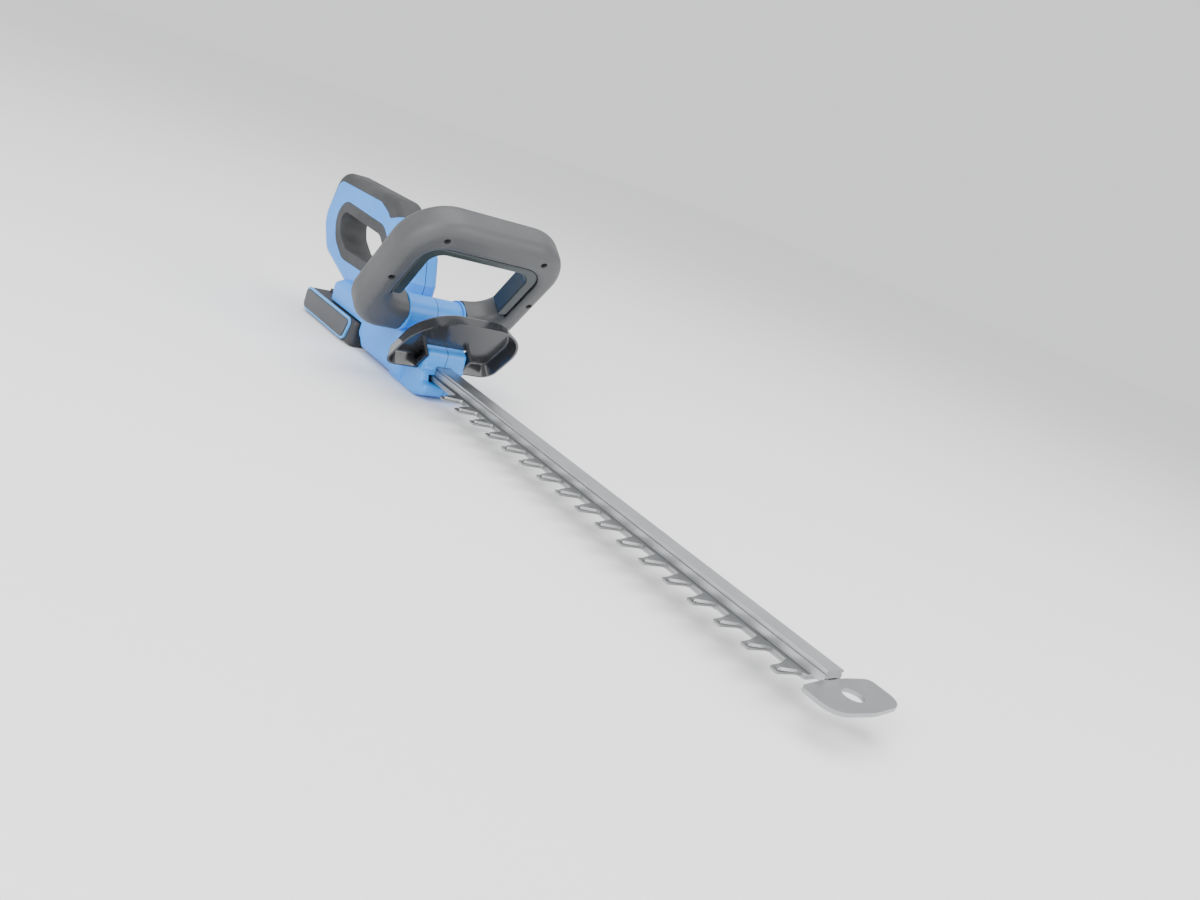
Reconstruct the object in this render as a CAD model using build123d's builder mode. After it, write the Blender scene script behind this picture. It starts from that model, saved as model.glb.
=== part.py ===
from build123d import *
import os
from math import atan, cos, pi, radians, sin

# Battery hedge trimmer. Millimetres. +X runs forward to the blade tip, +Y to the user's left, +Z up.
# The origin is on the flat underside of the gear nose, straight below the crank spindle.

# ---- Driving dimensions ----

# Cutting blades and guide bar
tooth_pitch = 29.0
teeth_right = 17
teeth_left = 16
first_tooth_x = 90.0
tooth_reach_lower = 32.4
tooth_reach_upper = 29.4
tooth_root_width = 13.0
tooth_tip_width_lower = 8.0
tooth_tip_width_upper = 4.6
tooth_tip_round = 1.6
blade_spine_half = 13.0
blade_thickness = 2.0
blade_gap = 0.2
edge_grind_angle = 24.0
blade_tail_x = 566.0
bar_floor_z = 25.0
bar_half_width = 8.8
bar_height = 9.5
bar_start_x = 22.0
bar_end_x = 577.0
bar_groove_height = 1.5
bar_groove_depth = 1.3
bar_top_slab = 1.9
bar_channel_width = 8.4
bar_channel_depth = 3.6
bolt_pitch = 75.2
bolt_count = 7
bar_pin_radius = 1.95
first_bolt_x = 90.0
bolt_shank_radius = 2.5
spacer_radius = 3.6
spacer_bore_radius = 2.55
bolt_head_radius = 5.0
bolt_head_height = 3.6
washer_radius = 7.0
washer_thickness = 1.2
slot_side_clearance = 0.3

# Tip plate
tip_plate_thickness = 3.0
tip_plate_half_width = 37.0
tip_plate_length = 40.0
tip_plate_front_round = 15.0
tip_plate_rear_round = 6.0
tip_hole_radius = 8.0
tip_hole_from_bar = 18.5
tip_screw_from_end = 9.0
tip_screw_radius = 1.55
tip_screw_head_radius = 3.0
tip_screw_head_height = 1.6

# Crank and gear train
crank_throw = 5.0
eccentric_radius = 8.7
crank_spindle_radius = 2.5
idler_spindle_radius = 2.0
bush_wall = 1.2
running_clearance = 0.05
gear_module = 0.8
pinion_teeth = 10
idler_large_teeth = 44
idler_small_teeth = 14
crank_teeth = 40
gear_backlash = 0.22
idler_floor_z = 7.5
idler_large_face = 4.5
crank_gear_floor_z = 13.0
crank_gear_face = 5.0
base_plate_z = 4.2
gear_plate_thickness = 2.0
top_plate_z = 25.7
press_clearance = 0.02
pillar_radius = 1.5
pillar_end_radius = 1.1
plate_front_x = 17.0
plate_rear_x = -30.0
yoke_wall = 3.4
yoke_clearance = 0.4

# Motor
motor_radius = 14.0
motor_floor_z = 16.0
motor_can_length = 32.0
motor_endbell_length = 4.0
motor_wall = 1.2
motor_shaft_radius = 1.6
motor_screw_offset = 8.0
armature_radius = 9.6
magnet_thickness = 2.2

# Housing
wall = 2.6
body_half_width = 29.0
nose_half_width = 24.0
grip_half_width = 17.0
overmould = 1.8
grip_wall = 2.2
liner_width = 12.0
body_floor_z = 4.0
body_top_z = 57.0
body_edge_round = 9.0
nose_edge_round = 4.4
grip_edge_round = 9.0
opening_edge_round = 4.5
nose_front_x = 31.0

# Front handle and its barrel
barrel_x = -28.0
barrel_z = 71.4
barrel_radius = 18.5
barrel_half_length = 34.0
barrel_bore_radius = 16.0
collar_radius = 20.3
collar_width = 3.2
handle_lean = 35.0
handle_half_width = 93.0
handle_leg_width = 28.0
handle_top = 144.0
handle_bar_height = 36.0
handle_bottom = -18.5
handle_half_depth = 18.0
handle_outer_round = 50.0
handle_lower_round = 38.0
handle_inner_round = 20.0
handle_edge_round = 12.0
handle_wall = 3.0
handle_boss_radius = 15.9
handle_boss_reach = 15.0
handle_arm_end = 35.0
handle_arm_top = 19.0
handle_inner_half_width = 65.0
handle_inner_foot = 24.0
handle_screw_radius = 1.4
handle_screw_depth = 11.0
handle_screw_x_upper = 57.0
handle_screw_y_upper = 125.0
handle_screw_x_lower = 81.7
handle_screw_y_lower = 62.6

# Switch lever of the front handle
lever_face = 57.0
lever_top_face = 103.0
lever_thickness = 12.0
lever_strip_height = 8.0
lever_foot = 38.0
lever_front_depth = 15.0
lever_rear_depth = -7.0
lever_pivot_height = 45.0
lever_pin_radius = 2.5
lever_travel_room = 5.4

# Hand guard
guard_lean = 40.0
guard_x = 20.0
guard_z = 27.0
guard_half_width = 64.5
guard_height = 87.0
guard_depth = 15.0
guard_wall = 2.4
guard_taper = 22.0
guard_top_round = 48.0
guard_foot_round = 14.0
guard_back_round = 5.0
guard_screw_radius = 1.5
guard_lug_thickness = 3.4
guard_screw_heights = (10.0, 18.0)
guard_screw_depth = -7.0

# Battery
pack_rear_x = -237.0
pack_front_x = -109.0
pack_half_width = 34.3
pack_height = 28.0
pack_joint_z = 14.0
pack_wall = 1.5
pack_edge_round = 4.0
pod_half_width = 38.0
pod_rim_half_width = 36.4
seat_floor_z = 30.0
seat_rear_x = -193.0
seat_front_x = -105.0
rail_neck_half = 18.5
rail_head_half = 22.5
rail_neck_top_z = 33.6
rail_top_z = 38.0
rail_clearance = 0.5
cell_radius = 9.1
cell_length = 65.0
cell_pitch = 18.6
cell_count = 5
cell_middle_x = -170.0
cell_middle_z = 13.0
contact_pitch = 10.0
contact_width = 2.0
button_rear_x = -233.0
button_front_x = -219.0
button_half_width = 11.0
button_floor_z = 24.0
button_top_z = 31.5
button_well_z = 15.5
pack_screw_rear_x = -231.0
pack_screw_front_x = -115.5
pack_screw_y = 28.5
pack_post_radius = 4.4

# Trigger
trigger_half_width = 7.0
trigger_pivot_x = -105.0
trigger_pivot_z = 88.0
trigger_pin_radius = 2.0
trigger_pin_half_length = 12.0
slot_clearance = 0.5

# Springs
spring_wire = 0.8

# Control board
board_rear_x = -98.0
board_front_x = -66.0
board_half_width = 20.0
board_z = 20.0
board_thickness = 1.6

# Fasteners
screw_radius = 1.4
screw_head_radius = 2.9
screw_hole_radius = 1.45
post_radius = 3.6


# ---- Values worked out from the driving dimensions ----

crank_bush_radius = crank_spindle_radius + bush_wall
idler_distance = gear_module * (idler_small_teeth + crank_teeth) / 2
motor_distance = idler_distance + gear_module * (pinion_teeth + idler_large_teeth) / 2
idler_x = -idler_distance
motor_x = -motor_distance
upper_blade_z = bar_floor_z - blade_gap - blade_thickness
lower_blade_z = upper_blade_z - blade_gap - blade_thickness
crank_gear_top_z = crank_gear_floor_z + crank_gear_face
bar_top_z = bar_floor_z + bar_height
opening_points = ((-250, 123), (-144, 121), (-119, 104), (-119, 86), (-212, 84), (-234, 96))
opening_rounds = (11, 16, 10, 12, 16, 18)
loop_points = (
    (-274, 164), (-130, 166), (-64, 126), (-51, 96), (-51, 40), (-182, 44), (-230, 58), (-264, 68), (-290, 102),
)
loop_rounds = (26, 22, 9, 4, 0, 12, 16, 20, 30)
screw_places_grip = ((-276, 110), (-190, 148), (-88, 110), (-216, 67))
screw_places_body = ((-150, 48), (-94, 13))
screw_places_nose = ((15, 43), (26, 10))

guard_sin = sin(radians(guard_lean))
guard_cos = cos(radians(guard_lean))
guard_plane = Plane(origin=(guard_x, 0, guard_z), x_dir=(0, 1, 0), z_dir=(guard_cos, 0, -guard_sin))
guard_screw_places = [
    (guard_x + height * guard_sin + guard_screw_depth * guard_cos,
     guard_z + height * guard_cos - guard_screw_depth * guard_sin)
    for height in guard_screw_heights
]
bar_pin_x = bar_start_x + 5
bar_pin_z = bar_floor_z + 6

os.makedirs("parts", exist_ok=True)


def write(part, name):
    """Label one finished piece and write it to its own STEP file."""
    part.label = name
    export_step(part, f"parts/{name}.step")


# ---- Housing: outer volumes, each drawn a chosen distance inside its outer skin ----


def handle_volume(inset, opening_inset):
    """Rear D handle and front post in side view, with its finger opening."""
    with BuildPart() as volume:
        with BuildSketch(Plane.XZ) as outline:
            with BuildLine():
                FilletPolyline(*loop_points, radius=loop_rounds, close=True)
            make_face()
            offset(amount=-inset)
        extrude(outline.sketch, amount=grip_half_width - inset, both=True)
        edge_round = grip_edge_round - inset
        rims = volume.edges().filter_by(
            lambda edge: abs(abs(edge.center().Y) - (grip_half_width - inset)) < 0.01
        )
        fillet(rims, radius=max(edge_round, 1.0))
        with BuildSketch(Plane.XZ) as opening:
            with BuildLine():
                FilletPolyline(*opening_points, radius=opening_rounds, close=True)
            make_face()
            offset(amount=opening_inset)
        extrude(opening.sketch, amount=grip_half_width + 1, both=True, mode=Mode.SUBTRACT)
    return volume.part


def side_volume(points, rounds, half_width, edge_round, inset):
    """Closed side view drawn `inset` inside its outline, with rounded long edges."""
    with BuildPart() as volume:
        with BuildSketch(Plane.XZ) as outline:
            with BuildLine():
                FilletPolyline(*points, radius=rounds, close=True)
            make_face()
            offset(amount=-inset)
        extrude(outline.sketch, amount=half_width - inset, both=True)
        rims = volume.edges().filter_by(
            lambda edge: abs(abs(edge.center().Y) - (half_width - inset)) < 0.01
        )
        fillet(rims, radius=max(edge_round - inset, 0.8))
    return volume.part


body_points = (
    (seat_rear_x, seat_floor_z - 12), (seat_rear_x - 3, 50), (seat_rear_x + 12, body_top_z), (-20, body_top_z),
    (-2, 46), (-2, body_floor_z), (seat_front_x + 8, body_floor_z), (seat_front_x, body_floor_z + 8),
)
body_rounds = (0, 5, 8, 12, 6, 4, 4, 6)
nose_points = (
    (-34, 0), (24, 0), (42, 7), (44, 17), (34, 19), (nose_front_x, 25), (nose_front_x, 49), (-4, 66), (-34, 62),
)
nose_rounds = (5, 10, 7, 4.5, 2, 2, 6, 6, 5)

housing_outer = handle_volume(0, 0)
body_outer = side_volume(body_points, body_rounds, body_half_width, body_edge_round, 0)
body_inner = side_volume(body_points, body_rounds, body_half_width, body_edge_round, wall)
nose_outer = side_volume(nose_points, nose_rounds, nose_half_width, nose_edge_round, 0)
nose_inner = side_volume(nose_points, nose_rounds, nose_half_width, nose_edge_round, wall)
grip_core = handle_volume(overmould, overmould)
grip_inner = handle_volume(overmould + grip_wall, overmould + grip_wall)

barrel_axis = Plane(origin=(barrel_x, 0, barrel_z), x_dir=(1, 0, 0), z_dir=(0, 1, 0))

with BuildPart() as barrel_outer:
    with BuildSketch(barrel_axis):
        Circle(barrel_radius)
    extrude(amount=barrel_half_length, both=True)
    with BuildSketch(barrel_axis.offset(barrel_half_length - collar_width)):
        Circle(collar_radius)
    extrude(amount=collar_width)
    mirror(about=Plane.XZ)
    end_rims = barrel_outer.edges().filter_by(GeomType.CIRCLE).filter_by(
        lambda edge: abs(abs(edge.center().Y) - barrel_half_length) < 0.01
    )
    fillet(end_rims, radius=1.2)

with BuildPart() as battery_bay:
    # The space below the seat where the pack lies, and the T slot its rail slides in.
    with BuildSketch(Plane.XZ):
        with Locations(((seat_rear_x + seat_front_x) / 2 - 20, seat_floor_z - 15)):
            Rectangle(seat_front_x - seat_rear_x + 40, 30)
    extrude(amount=body_half_width + 5, both=True)
    with BuildSketch(Plane.YZ.offset(seat_rear_x - 10)):
        neck_height = rail_neck_top_z - 0.6 - seat_floor_z
        with Locations((0, seat_floor_z + neck_height / 2 - 1)):
            Rectangle(2 * (rail_neck_half + rail_clearance), neck_height + 2)
        head_height = rail_top_z + 0.6 - (rail_neck_top_z - 0.6)
        with Locations((0, rail_neck_top_z - 0.6 + head_height / 2)):
            Rectangle(2 * (rail_head_half + rail_clearance), head_height)
    extrude(amount=seat_front_x - seat_rear_x + 10)

seat_roof_z = rail_top_z + 0.6 + wall

with BuildPart() as rail_block:
    # Solid plastic round the T slot, so that the slot never opens into the housing.
    with BuildSketch(Plane.XY.offset(seat_floor_z)):
        with Locations(((seat_rear_x + seat_front_x) / 2 + wall / 2, 0)):
            Rectangle(seat_front_x - seat_rear_x + wall, 2 * body_half_width)
    extrude(amount=seat_roof_z - seat_floor_z)
    # The wall between the battery bay and the motor space.
    with BuildSketch(Plane.XY.offset(body_floor_z)):
        with Locations((seat_front_x + wall / 2, 0)):
            Rectangle(wall, 2 * body_half_width)
    extrude(amount=seat_floor_z - body_floor_z)

with BuildPart() as inner_rests:
    # Ledges and ribs inside the shells: under the control board, and under the gear base plate.
    with BuildSketch(Plane.XY.offset(board_z - 2.4)):
        with Locations(((board_rear_x + board_front_x) / 2, body_half_width - wall - 3)):
            Rectangle(board_front_x - board_rear_x, 8)
    extrude(amount=2.4)
    with BuildSketch(Plane.XY.offset(wall - 0.5)):
        with Locations(((plate_rear_x + plate_front_x) / 2, 10)):
            Rectangle(plate_front_x - plate_rear_x - 4, 5)
    extrude(amount=base_plate_z - wall + 0.5)
    # Bosses for the trigger pin, the guide bar pin and the guard's screws.
    with BuildSketch(Plane.XZ.offset(-trigger_half_width - slot_clearance)):
        with Locations((trigger_pivot_x, trigger_pivot_z)):
            Circle(trigger_pin_radius + 2.4)
    extrude(amount=-(grip_half_width - overmould - trigger_half_width - slot_clearance - 1))
    with BuildSketch(Plane.XZ.offset(-bar_half_width - 3)):
        with Locations((bar_pin_x, bar_pin_z)):
            Circle(bar_pin_radius + 2.4)
    extrude(amount=-(nose_half_width - bar_half_width - 4))
    with BuildSketch(Plane.XZ.offset(-(nose_half_width - wall - 5))):
        with Locations(*guard_screw_places):
            Circle(guard_screw_radius + 1.6)
    extrude(amount=-6)
    mirror(about=Plane.XZ)

with BuildPart() as inner_bores:
    with BuildSketch(Plane.XZ):
        with Locations((trigger_pivot_x, trigger_pivot_z)):
            Circle(trigger_pin_radius + press_clearance)
    extrude(amount=trigger_pin_half_length, both=True)
    with BuildSketch(Plane.XZ):
        with Locations((bar_pin_x, bar_pin_z)):
            Circle(bar_pin_radius + press_clearance)
    extrude(amount=nose_half_width - wall, both=True)
    with BuildSketch(Plane.XZ.offset(nose_half_width - wall - 4.2)):
        with Locations(*guard_screw_places):
            Circle(guard_screw_radius + press_clearance)
    extrude(amount=wall + 6)
    mirror(about=Plane.XZ)


def screw_posts(places, half_width):
    """Plastic posts that carry the shells' screws across the middle plane."""
    with BuildPart() as posts:
        with BuildSketch(Plane.XZ):
            with Locations(*places):
                Circle(post_radius)
        extrude(amount=half_width, both=True)
    return posts.part


def screw_bores(places, half_width):
    """Bores through the posts, with a counterbore for each head on the left side."""
    with BuildPart() as bores:
        with BuildSketch(Plane.XZ.offset(half_width - 4)):
            with Locations(*places):
                Circle(screw_hole_radius)
        extrude(amount=-(2 * half_width - 4))
        with BuildSketch(Plane.XZ.offset(-(half_width - 4))):
            with Locations(*places):
                Circle(screw_head_radius + 0.3)
        extrude(amount=-6)
    return bores.part


trigger_slot_points = ((-128, 80), (-98, 80), (-98, 122), (-128, 122))

with BuildPart() as trigger_slot:
    with BuildSketch(Plane.XZ):
        with BuildLine():
            Polyline(*trigger_slot_points, close=True)
        make_face()
    extrude(amount=trigger_half_width + slot_clearance, both=True)

with BuildPart() as nose_cuts:
    # The way out of the guide bar, and below it the wider slot of the two blades.
    with BuildSketch(Plane.YZ.offset(nose_front_x - 12)):
        with Locations((0, bar_floor_z + bar_height / 2)):
            Rectangle(2 * (bar_half_width + 0.3), bar_height + 0.6)
        with Locations((0, lower_blade_z + 1.0)):
            Rectangle(2 * (blade_spine_half + 2.5), 2 * blade_thickness + 3.2)
    extrude(amount=40)

with BuildPart() as terminal_window:
    with BuildSketch(Plane.YZ.offset(seat_front_x - 6)):
        with Locations((0, seat_floor_z + 3.2)):
            Rectangle(26.6, 9.6)
    extrude(amount=16)

with BuildPart() as shells:
    # One hollow housing, which is then parted on the middle plane.
    add(housing_outer)
    add(body_outer)
    add(nose_outer)
    add(barrel_outer.part)
    with BuildSketch(Plane.XZ) as finger_opening:
        with BuildLine():
            FilletPolyline(*opening_points, radius=opening_rounds, close=True)
        make_face()
    extrude(finger_opening.sketch, amount=body_half_width + 6, both=True, mode=Mode.SUBTRACT)
    add(battery_bay.part, mode=Mode.SUBTRACT)

with BuildPart() as hollow:
    add(grip_inner)
    add(body_inner)
    add(nose_inner)
    with BuildSketch(barrel_axis):
        Circle(barrel_bore_radius)
    extrude(amount=barrel_half_length + 1, both=True)
    add(rail_block.part, mode=Mode.SUBTRACT)

with BuildPart() as liner_ring:
    with BuildSketch(Plane.XZ) as liner_outline:
        with BuildLine():
            FilletPolyline(*opening_points, radius=opening_rounds, close=True)
        make_face()
        offset(amount=liner_width)
    extrude(liner_outline.sketch, amount=grip_half_width + 1, both=True)
    with BuildSketch(Plane.XZ) as liner_hole:
        with BuildLine():
            FilletPolyline(*opening_points, radius=opening_rounds, close=True)
        make_face()
    extrude(liner_hole.sketch, amount=grip_half_width + 1, both=True, mode=Mode.SUBTRACT)

grip_cover_points = (
    (-320, 190), (-320, 112), (-281, 112), (-268, 152), (-160, 154), (-140, 148), (-131, 143), (-96, 155), (-60, 190),
)

with BuildPart() as cover_zone:
    with BuildSketch(Plane.XZ):
        with BuildLine():
            FilletPolyline(*grip_cover_points, radius=(0, 0, 0, 14, 10, 8, 6, 0, 0), close=True)
        make_face()
    extrude(amount=grip_half_width + 1, both=True)

with BuildPart() as grip_skin:
    add(housing_outer)
    add(grip_core, mode=Mode.SUBTRACT)

with BuildPart() as grip_cover:
    add(grip_skin.part)
    add(cover_zone.part, mode=Mode.INTERSECT)

with BuildPart() as grip_liner:
    add(grip_skin.part)
    add(liner_ring.part, mode=Mode.INTERSECT)
    add(body_outer, mode=Mode.SUBTRACT)
    add(trigger_slot.part, mode=Mode.SUBTRACT)

with BuildPart() as housing:
    add(shells.part)
    add(hollow.part, mode=Mode.SUBTRACT)
    add(screw_posts(screw_places_grip, grip_half_width - overmould - 1))
    add(screw_posts(screw_places_body, body_half_width - 1))
    add(screw_posts(screw_places_nose, nose_half_width - 1))
    add(inner_rests.part)
    add(inner_bores.part, mode=Mode.SUBTRACT)
    add(screw_bores(screw_places_grip, grip_half_width), mode=Mode.SUBTRACT)
    add(screw_bores(screw_places_body, body_half_width), mode=Mode.SUBTRACT)
    add(screw_bores(screw_places_nose, nose_half_width), mode=Mode.SUBTRACT)
    add(grip_cover.part, mode=Mode.SUBTRACT)
    add(grip_liner.part, mode=Mode.SUBTRACT)
    add(trigger_slot.part, mode=Mode.SUBTRACT)
    add(nose_cuts.part, mode=Mode.SUBTRACT)
    add(terminal_window.part, mode=Mode.SUBTRACT)


def halves(part):
    """The right (-Y) and left (+Y) halves of a piece that is moulded on both shells."""
    with BuildPart() as right:
        add(part)
        split(bisect_by=Plane.XZ, keep=Keep.TOP)
    with BuildPart() as left:
        add(part)
        split(bisect_by=Plane.XZ, keep=Keep.BOTTOM)
    return right.part, left.part


for piece, name in ((housing.part, "housing"), (grip_cover.part, "grip_cover"), (grip_liner.part, "grip_liner")):
    right_half, left_half = halves(piece)
    write(right_half, name + "_right")
    write(left_half, name + "_left")


# ---- Housing screws ----


def shell_screws(places, half_width):
    """Pan head screws that enter from the left side and hold the two shells together."""
    with BuildPart() as screws:
        with BuildSketch(Plane.XZ.offset(-(half_width - 4))):
            with Locations(*places):
                Circle(screw_head_radius)
        extrude(amount=-2)
        with BuildSketch(Plane.XZ.offset(-(half_width - 4))):
            with Locations(*places):
                Circle(screw_radius)
        extrude(amount=half_width + 6)
    return screws.part


with BuildPart() as housing_screws:
    add(shell_screws(screw_places_grip, grip_half_width))
    add(shell_screws(screw_places_body, body_half_width))
    add(shell_screws(screw_places_nose, nose_half_width))
write(housing_screws.part, "housing_screws")


# ---- Cutting blades ----


def tooth_places(side):
    """Middle of every tooth on one side: -1 is the right side, +1 the left side, half a pitch on."""
    count = teeth_right if side < 0 else teeth_left
    shift = 0.0 if side < 0 else tooth_pitch / 2
    return [first_tooth_x + shift + index * tooth_pitch for index in range(count)]


def blade(floor_z, reach, tip_width, ground_up):
    """One blade: spine, yoke for its eccentric, bolt slots and ground teeth on both sides."""
    yoke_half_x = eccentric_radius + 2 * crank_throw + yoke_clearance
    yoke_half_y = eccentric_radius + crank_throw + yoke_clearance
    with BuildPart() as tooth:
        face_z = floor_z if ground_up else floor_z + blade_thickness
        with BuildSketch(Plane.XY.offset(face_z)) as tooth_outline:
            with BuildLine():
                FilletPolyline(
                    (-tooth_root_width / 2 - 3, -blade_spine_half + 1.5),
                    (-tooth_root_width / 2, -blade_spine_half - 2.5),
                    (-tip_width / 2, -reach),
                    (tip_width / 2, -reach),
                    (tooth_root_width / 2, -blade_spine_half - 2.5),
                    (tooth_root_width / 2 + 3, -blade_spine_half + 1.5),
                    radius=(0, 2.5, tooth_tip_round, tooth_tip_round, 2.5, 0),
                    close=True,
                )
            make_face()
        extrude(tooth_outline.sketch, amount=blade_thickness if ground_up else -blade_thickness,
                taper=edge_grind_angle)
    with BuildPart() as whole:
        with BuildSketch(Plane.XY.offset(floor_z)):
            with Locations(((yoke_half_x + blade_tail_x) / 2, 0)):
                RectangleRounded(blade_tail_x - yoke_half_x, 2 * blade_spine_half, 3)
            RectangleRounded(2 * (yoke_half_x + yoke_wall), 2 * (yoke_half_y + yoke_wall), 5)
        extrude(amount=blade_thickness)
        with Locations(*[(x, 0, 0) for x in tooth_places(-1)]):
            add(tooth.part)
        with Locations(*[Location((x, 0, 0)) for x in tooth_places(1)]):
            add(tooth.part.mirror(Plane.XZ))
        with BuildSketch(Plane.XY.offset(floor_z - 1)):
            RectangleRounded(2 * yoke_half_x, 2 * yoke_half_y, 3)
            with Locations(*[(first_bolt_x + index * bolt_pitch, 0) for index in range(bolt_count)]):
                SlotOverall(
                    2 * (spacer_radius + crank_throw + slot_side_clearance),
                    2 * (spacer_radius + slot_side_clearance),
                )
        extrude(amount=blade_thickness + 2, mode=Mode.SUBTRACT)
    return whole.part


write(blade(upper_blade_z, tooth_reach_upper, tooth_tip_width_upper, True), "blade_upper")
write(blade(lower_blade_z, tooth_reach_lower, tooth_tip_width_lower, False), "blade_lower")


# ---- Guide bar with its bolts, spacers and washers ----

bolt_places = [(first_bolt_x + index * bolt_pitch, 0) for index in range(bolt_count)]
tip_screw_x = bar_end_x - tip_screw_from_end

with BuildPart() as guide_bar:
    with BuildSketch(Plane.YZ.offset(bar_start_x)):
        with Locations((0, bar_floor_z + bar_height / 2)):
            Rectangle(2 * bar_half_width, bar_height)
        groove_z = bar_top_z - bar_top_slab - bar_groove_height / 2
        with Locations((bar_half_width, groove_z), (-bar_half_width, groove_z)):
            Rectangle(2 * bar_groove_depth, bar_groove_height, mode=Mode.SUBTRACT)
        with Locations((0, bar_floor_z)):
            Rectangle(bar_channel_width, 2 * bar_channel_depth, mode=Mode.SUBTRACT)
    extrude(amount=bar_end_x - bar_start_x)
    top_edges = guide_bar.edges().filter_by(Axis.X).group_by(Axis.Z)[-1]
    fillet(top_edges, radius=0.8)
    # Bosses fill the channel where a bolt screws in.
    with BuildSketch(Plane.XY.offset(bar_floor_z)):
        with Locations(*bolt_places):
            Rectangle(14, bar_channel_width + 0.4)
    extrude(amount=bar_channel_depth + 0.2)
    with BuildSketch(Plane.XY.offset(bar_floor_z)):
        with Locations(*bolt_places):
            Circle(bolt_shank_radius)
    extrude(amount=bar_height - 2, mode=Mode.SUBTRACT)
    with BuildSketch(Plane.XZ):
        with Locations((bar_pin_x, bar_pin_z)):
            Circle(bar_pin_radius + press_clearance)
    extrude(amount=bar_half_width + 1, both=True, mode=Mode.SUBTRACT)
    with BuildSketch(Plane.XY.offset(bar_floor_z)):
        with Locations((tip_screw_x, 0)):
            Circle(tip_screw_radius + press_clearance)
    extrude(amount=bar_height - 2, mode=Mode.SUBTRACT)
write(guide_bar.part, "guide_bar")

washer_top_z = lower_blade_z - blade_gap
washer_floor_z = washer_top_z - washer_thickness
bolt_head_floor_z = washer_floor_z - bolt_head_height

with BuildPart() as blade_bolts:
    with BuildSketch(Plane.XY.offset(bolt_head_floor_z)):
        with Locations(*bolt_places):
            RegularPolygon(bolt_head_radius, 6)
    extrude(amount=bolt_head_height)
    head_rims = blade_bolts.faces().group_by(Axis.Z)[0].edges()
    chamfer(head_rims, length=0.5)
    with BuildSketch(Plane.XY.offset(washer_floor_z)):
        with Locations(*bolt_places):
            Circle(bolt_shank_radius - 0.02)
    extrude(amount=bar_floor_z + bar_height - 3 - washer_floor_z)
write(blade_bolts.part, "blade_bolts")

with BuildPart() as blade_washers:
    with BuildSketch(Plane.XY.offset(washer_floor_z)):
        with Locations(*bolt_places):
            Circle(washer_radius)
        with Locations(*bolt_places):
            Circle(spacer_bore_radius, mode=Mode.SUBTRACT)
    extrude(amount=washer_thickness)
write(blade_washers.part, "blade_washers")

with BuildPart() as blade_spacers:
    with BuildSketch(Plane.XY.offset(washer_top_z)):
        with Locations(*bolt_places):
            Circle(spacer_radius)
        with Locations(*bolt_places):
            Circle(spacer_bore_radius, mode=Mode.SUBTRACT)
    extrude(amount=bar_floor_z - washer_top_z)
write(blade_spacers.part, "blade_spacers")

with BuildPart() as bar_pin:
    with BuildSketch(Plane.XZ):
        with Locations((bar_pin_x, bar_pin_z)):
            Circle(bar_pin_radius)
    extrude(amount=nose_half_width - wall - 0.1, both=True)
write(bar_pin.part, "bar_pin")


# ---- Tip plate ----

tip_plate_rear_x = bar_end_x - 3.0
tip_tongue_length = 22.0
tip_hole_x = bar_end_x + tip_hole_from_bar

with BuildPart() as tip_plate:
    with BuildSketch(Plane.XY.offset(bar_floor_z)) as tip_outline:
        with BuildLine():
            FilletPolyline(
                (bar_end_x + 0.3, -bar_half_width - 5), (bar_end_x + 3.5, -tip_plate_half_width),
                (tip_plate_rear_x + tip_plate_length - 3, -tip_plate_half_width),
                (tip_plate_rear_x + tip_plate_length + 1.5, 0),
                (tip_plate_rear_x + tip_plate_length - 3, tip_plate_half_width),
                (bar_end_x + 3.5, tip_plate_half_width), (bar_end_x + 0.3, bar_half_width + 5),
                radius=(3, tip_plate_rear_round, tip_plate_front_round, 60, tip_plate_front_round,
                        tip_plate_rear_round, 3),
                close=True,
            )
        make_face()
        with Locations((bar_end_x - tip_tongue_length / 2 + 2, 0)):
            Rectangle(tip_tongue_length + 4, bar_channel_width - 0.3)
        with Locations((tip_hole_x, 0)):
            Circle(tip_hole_radius, mode=Mode.SUBTRACT)
        with Locations((tip_screw_x, 0)):
            Circle(tip_screw_radius + press_clearance, mode=Mode.SUBTRACT)
    extrude(amount=tip_plate_thickness)
    # The screw's head lies flush in the tongue, so that the blades pass under it.
    with BuildSketch(Plane.XY.offset(bar_floor_z)):
        with Locations((tip_screw_x, 0)):
            Circle(tip_screw_head_radius + press_clearance)
    extrude(amount=tip_screw_head_height, mode=Mode.SUBTRACT)
write(tip_plate.part, "tip_plate")

with BuildPart() as tip_screw:
    with BuildSketch(Plane.XY.offset(bar_floor_z + 0.1)):
        with Locations((tip_screw_x, 0)):
            Circle(tip_screw_head_radius)
    extrude(amount=tip_screw_head_height - 0.1)
    with BuildSketch(Plane.XY.offset(bar_floor_z + 0.1)):
        with Locations((tip_screw_x, 0)):
            Circle(tip_screw_radius)
    extrude(amount=bar_height - 3)
write(tip_screw.part, "tip_screw")


# ---- Gear train ----


def involute(ratio):
    """Involute angle, in radians, at a radius that is `ratio` times the base radius."""
    roll = max(ratio**2 - 1, 0.0) ** 0.5
    return roll - atan(roll)


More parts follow.
